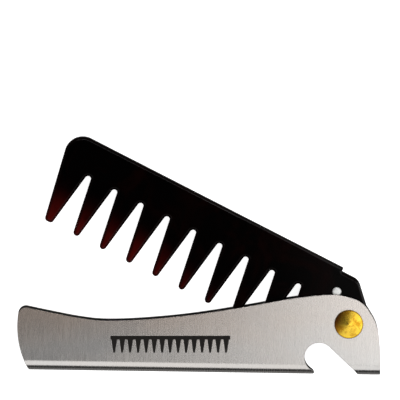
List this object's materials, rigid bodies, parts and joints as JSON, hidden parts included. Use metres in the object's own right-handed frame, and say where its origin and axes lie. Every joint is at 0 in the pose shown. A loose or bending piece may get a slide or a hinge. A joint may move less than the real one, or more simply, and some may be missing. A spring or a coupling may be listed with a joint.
{
  "type": "folding beard comb",
  "caption": "Folding beard comb: tortoiseshell acetate comb on a brass pivot in a folded brushed steel handle with a bottle opener.",
  "frame": {"origin": "on the pivot's axis, in the plane of the handle's rear wall, which it rests on", "axes": "+X along the handle towards its pivot end, +Y across the handle towards its open side, +Z along the pivot's axis out of the front wall"},
  "size_m": [0.1183, 0.0765, 0.0079],
  "materials": {
    "steel_sheet": "brushed across the handle",
    "acetate": "polished dark tortoiseshell, red-brown at the tooth tips",
    "brass_head": "turned, polished",
    "brass_screw": "turned",
    "nylon": "plain",
    "steel_pin": "ground"
  },
  "bodies": {
    "handle": {"handle_channel": "steel_sheet", "pivot_barrel": "brass_head", "pivot_screw": "brass_screw", "washer_front": "nylon", "washer_rear": "nylon"},
    "comb": {"comb": "acetate", "detent_pin": "steel_pin"}
  },
  "joints": [
    {"name": "comb_swing", "type": "hinge", "parent": "handle", "child": "comb", "pos_m": [0, 0, 0.0035], "axis": [0, 0, -1], "range_deg": [-26.4, 153.6]}
  ]
}
